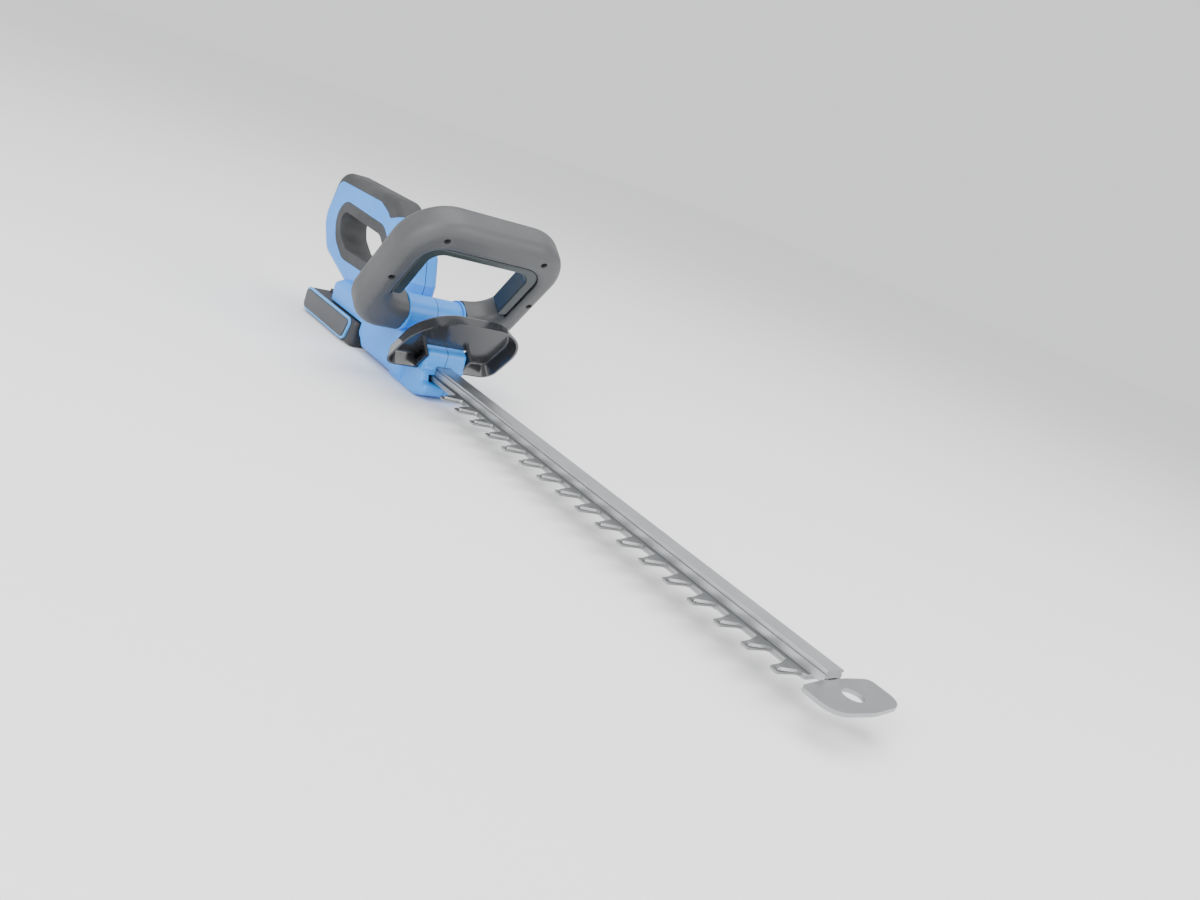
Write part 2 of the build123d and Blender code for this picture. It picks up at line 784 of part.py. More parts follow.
def gear_face(teeth, bore_radius, first_angle):
    """Involute spur gear outline; `first_angle` is the direction of one tooth's middle, in degrees."""
    pitch_radius = gear_module * teeth / 2
    base_radius = pitch_radius * cos(radians(20))
    tip_radius = pitch_radius + gear_module
    root_radius = pitch_radius - 1.25 * gear_module
    half_tooth = (pi * gear_module / 2 - gear_backlash) / 2 / pitch_radius
    half_base = half_tooth + involute(pitch_radius / base_radius)
    foot_radius = root_radius - 0.3
    flank_start = max(base_radius, root_radius)
    flank = [(foot_radius * cos(half_base), foot_radius * sin(half_base))]
    for step in range(4):
        radius = flank_start + (tip_radius - flank_start) * step / 3
        angle = half_base - involute(radius / base_radius)
        flank.append((radius * cos(angle), radius * sin(angle)))
    far_flank = [(x, -y) for x, y in reversed(flank)]
    with BuildSketch() as tooth:
        with BuildLine():
            Polyline(*flank, *far_flank, close=True)
        make_face()
    with BuildSketch() as outline:
        Circle(root_radius)
        with PolarLocations(0, teeth, start_angle=first_angle):
            add(tooth.sketch)
        Circle(bore_radius, mode=Mode.SUBTRACT)
    return outline.sketch


# The pinion and the small idler gear each have a tooth towards the crank (+X).
# Their partners have a gap towards the motor (-X), half a tooth pitch round.
idler_large_start = 180 + 180 / idler_large_teeth
crank_start = 180 + 180 / crank_teeth
idler_bore = idler_spindle_radius + running_clearance

with BuildPart() as motor_pinion:
    with BuildSketch(Plane.XY.offset(idler_floor_z)):
        with Locations((motor_x, 0)):
            add(gear_face(pinion_teeth, motor_shaft_radius + press_clearance, 0))
    extrude(amount=idler_large_face)
write(motor_pinion.part, "motor_pinion")

with BuildPart() as idler_gear:
    with BuildSketch(Plane.XY.offset(idler_floor_z)):
        with Locations((idler_x, 0)):
            add(gear_face(idler_large_teeth, idler_bore, idler_large_start))
    extrude(amount=idler_large_face)
    with BuildSketch(Plane.XY.offset(idler_floor_z + idler_large_face)):
        with Locations((idler_x, 0)):
            add(gear_face(idler_small_teeth, idler_bore, 0))
    extrude(amount=crank_gear_top_z - idler_floor_z - idler_large_face)
write(idler_gear.part, "idler_gear")

hub_radius = crank_bush_radius + 1.6
eccentric_top_z = bar_floor_z - 0.3

with BuildPart() as crank_gear:
    with BuildSketch(Plane.XY.offset(crank_gear_floor_z)):
        add(gear_face(crank_teeth, crank_bush_radius + press_clearance, crank_start))
    extrude(amount=crank_gear_face)
    with BuildSketch(Plane.XY.offset(crank_gear_top_z)):
        Circle(hub_radius)
        Circle(crank_bush_radius + press_clearance, mode=Mode.SUBTRACT)
    extrude(amount=eccentric_top_z - crank_gear_top_z)
write(crank_gear.part, "crank_gear")

blade_parting_z = upper_blade_z - blade_gap / 2
for name, side, floor_z, top_z in (
    ("eccentric_lower", -1, lower_blade_z - blade_gap / 2, blade_parting_z),
    ("eccentric_upper", 1, blade_parting_z, eccentric_top_z),
):
    with BuildPart() as eccentric:
        with BuildSketch(Plane.XY.offset(floor_z)):
            with Locations((0, side * crank_throw)):
                Circle(eccentric_radius)
            Circle(hub_radius + press_clearance, mode=Mode.SUBTRACT)
        extrude(amount=top_z - floor_z)
    write(eccentric.part, name)

idler_spindle_top_z = crank_gear_top_z + 1.4
with BuildPart() as gear_spindles:
    with BuildSketch(Plane.XY.offset(base_plate_z)):
        Circle(crank_spindle_radius)
    extrude(amount=top_plate_z + gear_plate_thickness - base_plate_z)
    with BuildSketch(Plane.XY.offset(base_plate_z)):
        with Locations((idler_x, 0)):
            Circle(idler_spindle_radius)
    extrude(amount=idler_spindle_top_z - base_plate_z)
write(gear_spindles.part, "gear_spindles")

bush_floor_z = crank_gear_floor_z - 0.6
with BuildPart() as crank_bush:
    with BuildSketch(Plane.XY.offset(bush_floor_z)):
        Circle(crank_bush_radius)
        Circle(crank_spindle_radius + running_clearance, mode=Mode.SUBTRACT)
    extrude(amount=eccentric_top_z - bush_floor_z)
write(crank_bush.part, "crank_bush")


# ---- Gear plates and pillars ----

pillar_y = nose_half_width - wall - pillar_radius - 0.3
pillar_x_rear = -9.0
pillar_x_front = 13.0
pillar_places = [(x, side * pillar_y) for x in (pillar_x_rear, pillar_x_front) for side in (-1, 1)]
plate_half_width = pillar_y + pillar_radius

with BuildPart() as gear_base_plate:
    with BuildSketch(Plane.XY.offset(base_plate_z)):
        with Locations(((plate_rear_x + plate_front_x) / 2, 0)):
            RectangleRounded(plate_front_x - plate_rear_x, 2 * plate_half_width, 3)
        Circle(crank_spindle_radius + press_clearance, mode=Mode.SUBTRACT)
        with Locations((idler_x, 0)):
            Circle(idler_spindle_radius + press_clearance, mode=Mode.SUBTRACT)
        with Locations(*pillar_places):
            Circle(pillar_end_radius + press_clearance, mode=Mode.SUBTRACT)
    extrude(amount=gear_plate_thickness)
write(gear_base_plate.part, "gear_base_plate")

top_plate_rear_x = pillar_x_rear - 4
with BuildPart() as gear_top_plate:
    with BuildSketch(Plane.XY.offset(top_plate_z)):
        with Locations(((top_plate_rear_x + plate_front_x) / 2, 0)):
            RectangleRounded(plate_front_x - top_plate_rear_x, 2 * plate_half_width, 3)
        Circle(crank_spindle_radius + press_clearance, mode=Mode.SUBTRACT)
        with Locations(*pillar_places):
            Circle(pillar_end_radius + press_clearance, mode=Mode.SUBTRACT)
    extrude(amount=gear_plate_thickness)
write(gear_top_plate.part, "gear_top_plate")

with BuildPart() as gear_pillars:
    with BuildSketch(Plane.XY.offset(base_plate_z + gear_plate_thickness)):
        with Locations(*pillar_places):
            Circle(pillar_radius)
    extrude(amount=top_plate_z - base_plate_z - gear_plate_thickness)
    with BuildSketch(Plane.XY.offset(base_plate_z)):
        with Locations(*pillar_places):
            Circle(pillar_end_radius)
    extrude(amount=top_plate_z + gear_plate_thickness - base_plate_z)
write(gear_pillars.part, "gear_pillars")


# ---- Motor ----

motor_top_z = motor_floor_z + motor_can_length
motor_plate_z = motor_floor_z - gear_plate_thickness
motor_screw_places = ((motor_x, motor_screw_offset), (motor_x, -motor_screw_offset))
bearing_radius = 4.0

with BuildPart() as motor_plate:
    plate_middle_x = motor_x - 2.0
    plate_length = 2 * motor_radius + 4.4
    with BuildSketch(Plane.XY.offset(motor_plate_z)):
        with Locations((plate_middle_x, 0)):
            RectangleRounded(plate_length, 2 * (body_half_width - wall - 2), 4)
        with Locations((motor_x, 0)):
            Circle(bearing_radius + 1, mode=Mode.SUBTRACT)
        with Locations(*motor_screw_places):
            Circle(screw_radius + 0.1 + press_clearance, mode=Mode.SUBTRACT)
    extrude(amount=gear_plate_thickness)
    # Four feet stand on the body floor, clear of the large idler gear.
    with BuildSketch(Plane.XY.offset(body_floor_z + wall)):
        with Locations((plate_middle_x, 0)):
            with GridLocations(plate_length - 8, 2 * (body_half_width - wall - body_edge_round), 2, 2):
                Circle(2.2)
    extrude(amount=motor_plate_z - body_floor_z - wall)
write(motor_plate.part, "motor_plate")

with BuildPart() as motor_can:
    with BuildSketch(Plane.XY.offset(motor_floor_z)):
        with Locations((motor_x, 0)):
            Circle(motor_radius)
    extrude(amount=motor_can_length)
    fillet(motor_can.edges().group_by(Axis.Z)[0], radius=1.0)
    with BuildSketch(Plane.XY.offset(motor_floor_z + motor_wall)):
        with Locations((motor_x, 0)):
            Circle(motor_radius - motor_wall)
    extrude(amount=motor_can_length, mode=Mode.SUBTRACT)
    with BuildSketch(Plane.XY.offset(motor_floor_z)):
        with Locations((motor_x, 0)):
            Circle(motor_shaft_radius + 0.5)
            with PolarLocations(motor_screw_offset, 4, start_angle=45):
                Circle(1.8)
        with Locations(*motor_screw_places):
            Circle(screw_radius + 0.1 + press_clearance)
    extrude(amount=motor_wall, mode=Mode.SUBTRACT)
write(motor_can.part, "motor_can")

with BuildPart() as motor_endbell:
    with BuildSketch(Plane.XY.offset(motor_top_z)):
        with Locations((motor_x, 0)):
            Circle(motor_radius)
    extrude(amount=motor_endbell_length)
    with BuildSketch(Plane.XY.offset(motor_top_z - 1.4)):
        with Locations((motor_x, 0)):
            Circle(motor_radius - motor_wall - 0.1)
    extrude(amount=1.4)
    with BuildSketch(Plane.XY.offset(motor_top_z - 1.4)):
        with Locations((motor_x, 0)):
            Circle(motor_shaft_radius + running_clearance)
            with PolarLocations(motor_radius - 5, 2):
                Rectangle(5, 6)
    extrude(amount=motor_endbell_length + 2, mode=Mode.SUBTRACT)
write(motor_endbell.part, "motor_endbell")

magnet_outer = motor_radius - motor_wall - press_clearance
with BuildPart() as motor_magnets:
    with BuildSketch(Plane.XY.offset(motor_floor_z + 3)):
        with Locations((motor_x, 0)):
            Circle(magnet_outer)
            Circle(magnet_outer - magnet_thickness, mode=Mode.SUBTRACT)
            Rectangle(2 * motor_radius, motor_radius * 0.9, mode=Mode.SUBTRACT)
    extrude(amount=motor_can_length - 8)
write(motor_magnets.part, "motor_magnets")

armature_floor_z = motor_floor_z + 3.5
with BuildPart() as motor_armature:
    with BuildSketch(Plane.XY.offset(armature_floor_z + 3)):
        with Locations((motor_x, 0)):
            Circle(armature_radius)
            with PolarLocations(armature_radius, 5):
                Rectangle(4, 1.4, mode=Mode.SUBTRACT)
    extrude(amount=17)
    with BuildSketch(Plane.XY.offset(armature_floor_z)):
        with Locations((motor_x, 0)):
            Circle(armature_radius - 2.2)
    extrude(amount=23)
    with BuildSketch(Plane.XY.offset(armature_floor_z + 23)):
        with Locations((motor_x, 0)):
            Circle(4.2)
            with PolarLocations(4.2, 5):
                Rectangle(1.2, 0.5, mode=Mode.SUBTRACT)
    extrude(amount=3.6)
    with BuildSketch(Plane.XY.offset(armature_floor_z)):
        with Locations((motor_x, 0)):
            Circle(motor_shaft_radius + press_clearance)
    extrude(amount=30, mode=Mode.SUBTRACT)
write(motor_armature.part, "motor_armature")

with BuildPart() as motor_shaft:
    with BuildSketch(Plane.XY.offset(idler_floor_z - 0.4)):
        with Locations((motor_x, 0)):
            Circle(motor_shaft_radius)
    extrude(amount=motor_top_z + motor_endbell_length + 0.6 - idler_floor_z)
write(motor_shaft.part, "motor_shaft")

with BuildPart() as motor_screws:
    with BuildSketch(Plane.XY.offset(motor_plate_z - 1.8)):
        with Locations(*motor_screw_places):
            Circle(screw_head_radius - 0.3)
    extrude(amount=1.8)
    with BuildSketch(Plane.XY.offset(motor_plate_z)):
        with Locations(*motor_screw_places):
            Circle(screw_radius + 0.1)
    extrude(amount=gear_plate_thickness + motor_wall + 1)
write(motor_screws.part, "motor_screws")


# ---- Front handle: drawn lying flat, then stood in its leaning plane through the barrel ----

handle_plane = Plane(
    origin=(barrel_x, 0, barrel_z),
    x_dir=(0, 1, 0),
    z_dir=(cos(radians(handle_lean)), 0, -sin(radians(handle_lean))),
)
handle_inner_top = handle_top - handle_bar_height
handle_points = (
    (handle_arm_end, handle_bottom), (handle_half_width, handle_bottom), (handle_half_width, handle_top),
    (-handle_half_width, handle_top), (-handle_half_width, handle_bottom), (-handle_arm_end, handle_bottom),
    (-handle_arm_end, handle_arm_top), (-handle_inner_half_width, handle_inner_foot),
    (-handle_inner_half_width, handle_inner_top), (handle_inner_half_width, handle_inner_top),
    (handle_inner_half_width, handle_inner_foot), (handle_arm_end, handle_arm_top),
)
handle_rounds = (
    0, handle_lower_round, handle_outer_round, handle_outer_round, handle_lower_round, 0,
    0, handle_inner_foot, handle_inner_round, handle_inner_round, handle_inner_foot, 0,
)
handle_screw_places = [
    (side * x, y)
    for side in (-1, 1)
    for x, y in ((handle_screw_x_upper, handle_screw_y_upper), (handle_screw_x_lower, handle_screw_y_lower))
]


def front_handle_volume(inset):
    """The wrap-round tube with flat ends at the barrel, drawn `inset` inside its skin."""
    with BuildPart() as volume:
        with BuildSketch() as outline:
            with BuildLine():
                FilletPolyline(*handle_points, radius=handle_rounds, close=True)
            make_face()
            offset(amount=-inset)
        extrude(outline.sketch, amount=handle_half_depth - inset, both=True)
        rims = volume.edges().filter_by(
            lambda edge: abs(abs(edge.center().Z) - (handle_half_depth - inset)) < 0.01
            and abs(abs(edge.center().X) - (handle_arm_end + inset)) > 0.01
        )
        fillet(rims, radius=handle_edge_round - inset)
    return volume.part


groove_face = lever_face + lever_thickness + 2.0
groove_top = lever_top_face + lever_strip_height + 2.5
rib_thickness = 4.8

with BuildPart() as handle_shell:
    add(front_handle_volume(0))
    add(front_handle_volume(handle_wall), mode=Mode.SUBTRACT)
    # Groove in the inner side for the switch lever.
    with BuildSketch(Plane.XY.offset(lever_rear_depth - lever_travel_room - 1)):
        with Locations((0, (lever_foot - 2 + groove_top) / 2)):
            Rectangle(2 * groove_face, groove_top - lever_foot + 2)
    extrude(amount=lever_front_depth - lever_rear_depth + lever_travel_room + 2, mode=Mode.SUBTRACT)
    # Ribs that carry the lever's pins, and posts for the screws.
    with BuildSketch():
        for side in (-1, 1):
            with Locations((side * (groove_face - 0.8 + rib_thickness / 2), lever_pivot_height)):
                Rectangle(rib_thickness, 12)
    extrude(amount=handle_half_depth - 2, both=True)
    with BuildSketch():
        with Locations(*handle_screw_places):
            Circle(post_radius + 0.9)
    extrude(amount=handle_half_depth - 1, both=True)
    # Bosses that turn the handle's ends down into the barrel bore.
    with BuildSketch(Plane.YZ.offset(handle_arm_end - handle_boss_reach)):
        Circle(handle_boss_radius)
    extrude(amount=handle_boss_reach + 0.5)
    with BuildSketch(Plane.YZ.offset(-(handle_arm_end - handle_boss_reach))):
        Circle(handle_boss_radius)
    extrude(amount=-(handle_boss_reach + 0.5))
    with BuildSketch(Plane.YZ):
        Circle(handle_boss_radius - handle_wall)
    extrude(amount=handle_arm_end + handle_wall + 1, both=True, mode=Mode.SUBTRACT)
    with BuildSketch(Plane.YZ):
        with Locations((lever_pivot_height, 0)):
            Circle(lever_pin_radius + running_clearance)
    extrude(amount=groove_face + rib_thickness, both=True, mode=Mode.SUBTRACT)
    with BuildSketch(Plane.XY.offset(-handle_screw_depth - 2)):
        with Locations(*handle_screw_places):
            Circle(screw_hole_radius)
    extrude(amount=2 * handle_half_depth, mode=Mode.SUBTRACT)
    with BuildSketch(Plane.XY.offset(handle_screw_depth)):
        with Locations(*handle_screw_places):
            Circle(screw_head_radius + 0.5)
    extrude(amount=handle_half_depth, mode=Mode.SUBTRACT)

for name, side in (("front_handle_front", Keep.TOP), ("front_handle_rear", Keep.BOTTOM)):
    with BuildPart() as handle_half:
        add(handle_shell.part)
        split(bisect_by=Plane.XY, keep=side)
    write(handle_half.part.moved(handle_plane.location), name)

with BuildPart() as handle_screws:
    with BuildSketch(Plane.XY.offset(handle_screw_depth)):
        with Locations(*handle_screw_places):
            Circle(screw_head_radius)
    extrude(amount=2)
    with BuildSketch(Plane.XY.offset(-handle_screw_depth)):
        with Locations(*handle_screw_places):
            Circle(handle_screw_radius)
    extrude(amount=2 * handle_screw_depth)
write(handle_screws.part.moved(handle_plane.location), "handle_screws")


# ---- Switch lever ----


def coil(mean_radius, length, turns):
    """Round wire coil from the origin up the Z axis."""
    rise = (length - spring_wire) / turns
    with BuildPart() as spring:
        with BuildLine() as path:
            Helix(pitch=rise, height=rise * turns, radius=mean_radius)
        with BuildSketch(Plane(origin=path.line @ 0, z_dir=path.line % 0)):
            Circle(spring_wire / 2)
        sweep(path=path.line, is_frenet=True)
    return spring.part.moved(Location((0, 0, spring_wire / 2)))


lever_half_width = lever_face + lever_thickness
lever_top = lever_top_face + lever_strip_height
lever_points = (
    (lever_half_width, lever_foot), (lever_half_width, lever_top),
    (-lever_half_width, lever_top), (-lever_half_width, lever_foot),
    (-lever_face, lever_foot), (-lever_face, lever_top_face),
    (lever_face, lever_top_face), (lever_face, lever_foot),
)
lever_rounds = (4, 18, 18, 4, 4, 14, 14, 4)
lever_spring_start = groove_face - 0.8 + rib_thickness + 0.4
lever_spring_length = 4.4
lever_finger_half_width = 4.0
lever_finger_depth = 2.0
lever_finger_thickness = 3.0
lever_finger_top = 123.0

with BuildPart() as switch_lever:
    with BuildSketch(Plane.XY.offset(lever_rear_depth)):
        with BuildLine():
            FilletPolyline(*lever_points, radius=lever_rounds, close=True)
        make_face()
    extrude(amount=lever_front_depth - lever_rear_depth)
    rims = switch_lever.faces().filter_by(Axis.Z).edges()
    fillet(rims, radius=2.0)
    # A finger rises into the top bar and works the micro switch.
    with BuildSketch(Plane.XY.offset(lever_finger_depth)):
        with Locations((0, (lever_top + lever_finger_top) / 2 - 1)):
            Rectangle(2 * lever_finger_half_width, lever_finger_top - lever_top + 2)
    extrude(amount=lever_finger_thickness)
    with BuildSketch(Plane.YZ.offset(lever_half_width - 2)):
        with Locations((lever_pivot_height, 0)):
            Circle(lever_pin_radius)
    extrude(amount=lever_spring_start + lever_spring_length - lever_half_width + 2)
    with BuildSketch(Plane.YZ.offset(-lever_half_width + 2)):
        with Locations((lever_pivot_height, 0)):
            Circle(lever_pin_radius)
    extrude(amount=-(groove_face + rib_thickness - 1 - lever_half_width + 2))
write(switch_lever.part.moved(handle_plane.location), "switch_lever")

lever_spring_place = Plane(origin=(lever_spring_start, lever_pivot_height, 0), z_dir=(1, 0, 0))
lever_spring = coil(lever_pin_radius + 0.9, lever_spring_length, 4).moved(lever_spring_place.location)
write(lever_spring.moved(handle_plane.location), "lever_spring")

micro_switch_length = 19.8
micro_switch_width = 6.4
micro_switch_depth = 10.0
with BuildPart() as lever_switch:
    with BuildSketch(Plane.XY.offset(-handle_half_depth + handle_wall + 0.5)):
        with Locations((0, lever_finger_top - micro_switch_width / 2 + 1)):
            RectangleRounded(micro_switch_length, micro_switch_width, 0.8)
    extrude(amount=micro_switch_depth)
    with BuildSketch(Plane.XY.offset(-handle_half_depth + handle_wall + 0.5 + micro_switch_depth)):
        with Locations((0, lever_finger_top - micro_switch_width / 2 + 1)):
            Rectangle(3, 2)
    extrude(amount=0.7)
write(lever_switch.part.moved(handle_plane.location), "lever_switch")


# ---- Hand guard: an open dish, drawn lying flat with its rim up ----

guard_points = (
    (-guard_half_width, 0), (guard_half_width, 0),
    (guard_half_width, guard_height), (-guard_half_width, guard_height),
)
guard_rounds = (guard_foot_round, guard_foot_round, guard_top_round, guard_top_round)
notch_half_width = nose_half_width + 0.3
notch_height = 25.5


def guard_volume(inset):
    """The dish filled in, drawn `inset` inside its outer skin."""
    with BuildPart() as volume:
        with BuildSketch() as outline:
            with BuildLine():
                FilletPolyline(*guard_points, radius=guard_rounds, close=True)
            make_face()
            offset(amount=-inset)
        extrude(outline.sketch, amount=-(guard_depth - inset), taper=guard_taper)
        back_rims = volume.faces().sort_by(Axis.Z)[0].edges()
        fillet(back_rims, radius=guard_back_round - inset)
    return volume.part


with BuildPart() as hand_guard:
    add(guard_volume(0))
    add(guard_volume(guard_wall), mode=Mode.SUBTRACT)
    with BuildSketch(Plane.XY.offset(-guard_depth - 1)):
        with Locations((0, notch_height / 2 - 1)):
            Rectangle(2 * notch_half_width, notch_height + 2)
    extrude(amount=guard_depth + 2, mode=Mode.SUBTRACT)
    # Lugs beside the nose take the screws.
    with BuildSketch(Plane.XY.offset(-guard_depth + guard_wall - 0.5)):
        for side in (-1, 1):
            with Locations((side * (notch_half_width + guard_lug_thickness / 2), 14)):
                Rectangle(guard_lug_thickness, 20)
    extrude(amount=guard_depth - guard_wall - 0.5)
    with BuildSketch(Plane.YZ):
        with Locations(*[(height, guard_screw_depth) for height in guard_screw_heights]):
            Circle(guard_screw_radius + press_clearance)
    extrude(amount=notch_half_width + guard_lug_thickness, both=True, mode=Mode.SUBTRACT)
write(hand_guard.part.moved(guard_plane.location), "hand_guard")

guard_screw_end = nose_half_width - wall - 4.0
with BuildPart() as guard_screws:
    with BuildSketch(Plane.YZ.offset(guard_screw_end)):
        with Locations(*[(height, guard_screw_depth) for height in guard_screw_heights]):
            Circle(guard_screw_radius)
    extrude(amount=notch_half_width + guard_lug_thickness - guard_screw_end)
    with BuildSketch(Plane.YZ.offset(notch_half_width + guard_lug_thickness)):
        with Locations(*[(height, guard_screw_depth) for height in guard_screw_heights]):
            Circle(screw_head_radius)
    extrude(amount=2)
    mirror(about=Plane.YZ)
write(guard_screws.part.moved(guard_plane.location), "guard_screws")


# ---- Battery ----

pack_middle_x = (pack_rear_x + pack_front_x) / 2
pack_screw_places = [
    (x, side * pack_screw_y) for x in (pack_screw_rear_x, pack_screw_front_x) for side in (-1, 1)
]
well_gap = 0.4
button_middle_x = (button_rear_x + button_front_x) / 2
button_length = button_front_x - button_rear_x


def pack_volume(inset):
    """The rounded box of the pack, drawn `inset` inside its outer skin."""
    with BuildPart() as volume:
        with BuildSketch(Plane.XY.offset(inset)):
            with Locations((pack_middle_x, 0)):
                RectangleRounded(
                    pack_front_x - pack_rear_x - 2 * inset, 2 * (pack_half_width - inset), 6 - inset
                )
        extrude(amount=pack_height - 2 * inset)
        rims = volume.faces().filter_by(Axis.Z).edges()
        fillet(rims, radius=pack_edge_round - inset)
    return volume.part


with BuildPart() as pack_case:
    add(pack_volume(0))
    add(pack_volume(pack_wall), mode=Mode.SUBTRACT)
    with BuildSketch(Plane.XY.offset(1)):
        with Locations(*pack_screw_places):
            Circle(pack_post_radius)
    extrude(amount=pack_height - 2)
    # The T rail that slides in the tool's seat, with its contact slots.
    rail_rear_x = seat_rear_x + 3
    with BuildSketch(Plane.YZ.offset(rail_rear_x)):
        with Locations((0, (pack_height - 1 + rail_neck_top_z) / 2)):
            Rectangle(2 * rail_neck_half, rail_neck_top_z - pack_height + 1)
        with Locations((0, (rail_neck_top_z + rail_top_z) / 2)):
            Rectangle(2 * rail_head_half, rail_top_z - rail_neck_top_z)
    extrude(amount=pack_front_x - 0.5 - rail_rear_x)
    with BuildSketch(Plane.XY.offset(pack_height + 3)):
        for step in (-1, 0, 1):
            with Locations((pack_front_x - 6, step * contact_pitch)):
                Rectangle(13, contact_width)
    extrude(amount=rail_top_z - pack_height, mode=Mode.SUBTRACT)
    # The well of the release button.
    with BuildSketch(Plane.XY.offset(pack_joint_z)):
        with Locations((button_middle_x, 0)):
            Rectangle(button_length + 2 * well_gap + 2.8, 2 * (button_half_width + well_gap) + 2.8)
    extrude(amount=pack_height - pack_joint_z - 1)
    with BuildSketch(Plane.XY.offset(button_well_z)):
        with Locations((button_middle_x, 0)):
            Rectangle(button_length + 2 * well_gap, 2 * (button_half_width + well_gap))
    extrude(amount=pack_height - button_well_z + 1, mode=Mode.SUBTRACT)
    with BuildSketch():
        with Locations(*pack_screw_places):
            Circle(screw_hole_radius)
    extrude(amount=pack_height - 4, mode=Mode.SUBTRACT)
    with BuildSketch():
        with Locations(*pack_screw_places):
            Circle(screw_head_radius + 0.3)
    extrude(amount=2.6, mode=Mode.SUBTRACT)

for name, side in (("battery_case_upper", Keep.TOP), ("battery_case_lower", Keep.BOTTOM)):
    with BuildPart() as pack_half:
        add(pack_case.part)
        split(bisect_by=Plane.XY.offset(pack_joint_z), keep=side)
    write(pack_half.part, name)

with BuildPart() as battery_screws:
    with BuildSketch(Plane.XY.offset(0.7)):
        with Locations(*pack_screw_places):
            Circle(screw_head_radius)
    extrude(amount=1.9)
    with BuildSketch(Plane.XY.offset(2.6)):
        with Locations(*pack_screw_places):
            Circle(screw_radius)
    extrude(amount=pack_height - 8)
write(battery_screws.part, "battery_screws")

pod_points = (
    (pack_rear_x, 2), (pack_front_x - 15, 2), (pack_front_x - 6, pack_height + 1), (pack_rear_x, pack_height + 1),
)
panel_inset = 2.6
for name, side in (("right", -1), ("left", 1)):
    with BuildPart() as battery_rim:
        with BuildSketch(Plane.XZ.offset(-side * pack_half_width)):
            with BuildLine():
                FilletPolyline(*pod_points, radius=(8, 9, 7, 8), close=True)
            make_face()
        extrude(amount=-side * (pod_rim_half_width - pack_half_width))
    write(battery_rim.part, "battery_rim_" + name)
    with BuildPart() as battery_panel:
        with BuildSketch(Plane.XZ.offset(-side * pod_rim_half_width)):
            with BuildLine():
                FilletPolyline(*pod_points, radius=(8, 9, 7, 8), close=True)
            make_face()
            offset(amount=-panel_inset)
        extrude(amount=-side * (pod_half_width - pod_rim_half_width))
        rims = battery_panel.faces().sort_by(Axis.Y)[-1 if side > 0 else 0].edges()
        fillet(rims, radius=0.9)
    write(battery_panel.part, "battery_panel_" + name)

cell_places = [(cell_middle_x + (index - (cell_count - 1) / 2) * cell_pitch, cell_middle_z)
               for index in range(cell_count)]
with BuildPart() as battery_cells:
    with BuildSketch(Plane.XZ):
        with Locations(*cell_places):
            Circle(cell_radius)
    extrude(amount=cell_length / 2, both=True)
write(battery_cells.part, "battery_cells")

with BuildPart() as battery_board:
    with BuildSketch(Plane.XY.offset(cell_middle_z + cell_radius + 1.2)):
        with Locations((cell_middle_x, 0)):
            RectangleRounded(80, 50, 2)
    extrude(amount=board_thickness)
write(battery_board.part, "battery_board")

with BuildPart() as release_button:
    with BuildSketch(Plane.XY.offset(button_floor_z)):
        with Locations((button_middle_x, 0)):
            RectangleRounded(button_length, 2 * button_half_width, 2)
    extrude(amount=button_top_z - button_floor_z)
    fillet(release_button.faces().sort_by(Axis.Z)[-1].edges(), radius=1.5)
write(release_button.part, "release_button")

release_spring = coil(4.0, button_floor_z - button_well_z, 5)
write(release_spring.moved(Location((button_middle_x, 0, button_well_z))), "release_spring")


# ---- Trigger ----

trigger_points = (
    (-126.0, 117.5), (-127.6, 108), (-125.5, 97), (-121.5, 84), (-112, 82), (-100, 83), (-100, 93),
    (-106, 108), (-111, 117.5),
)
trigger_rounds = (2, 5, 26, 3, 4, 4.5, 4, 10, 2)
spring_recess_start = 3.0
with BuildPart() as trigger:
    with BuildSketch(Plane.XZ):
        with BuildLine():
            FilletPolyline(*trigger_points, radius=trigger_rounds, close=True)
        make_face()
        with Locations((trigger_pivot_x, trigger_pivot_z)):
            Circle(trigger_pin_radius + running_clearance, mode=Mode.SUBTRACT)
    extrude(amount=trigger_half_width, both=True)
    with BuildSketch(Plane.XZ.offset(-spring_recess_start)):
        with Locations((trigger_pivot_x, trigger_pivot_z)):
            Circle(trigger_pin_radius + 2.2)
    extrude(amount=-trigger_half_width, mode=Mode.SUBTRACT)
write(trigger.part, "trigger")

with BuildPart() as trigger_pin:
    with BuildSketch(Plane.XZ):
        with Locations((trigger_pivot_x, trigger_pivot_z)):
            Circle(trigger_pin_radius)
    extrude(amount=trigger_pin_half_length - 0.1, both=True)
write(trigger_pin.part, "trigger_pin")

trigger_spring_place = Plane(
    origin=(trigger_pivot_x, spring_recess_start + 0.3, trigger_pivot_z), z_dir=(0, 1, 0)
)
trigger_spring = coil(trigger_pin_radius + 1.1, 3.2, 3)
write(trigger_spring.moved(trigger_spring_place.location), "trigger_spring")

switch_rear_x = -96.0
switch_length = 20.0
switch_floor_z = 92.0
switch_height = 13.5
with BuildPart() as trigger_switch:
    with BuildSketch(Plane.XZ):
        with Locations((switch_rear_x + switch_length / 2, switch_floor_z + switch_height / 2)):
            RectangleRounded(switch_length, switch_height, 1)
        with Locations((switch_rear_x - 1, switch_floor_z + switch_height / 2)):
            Rectangle(3, 3)
    extrude(amount=6, both=True)
write(trigger_switch.part, "trigger_switch")


# ---- Control board and battery contacts ----

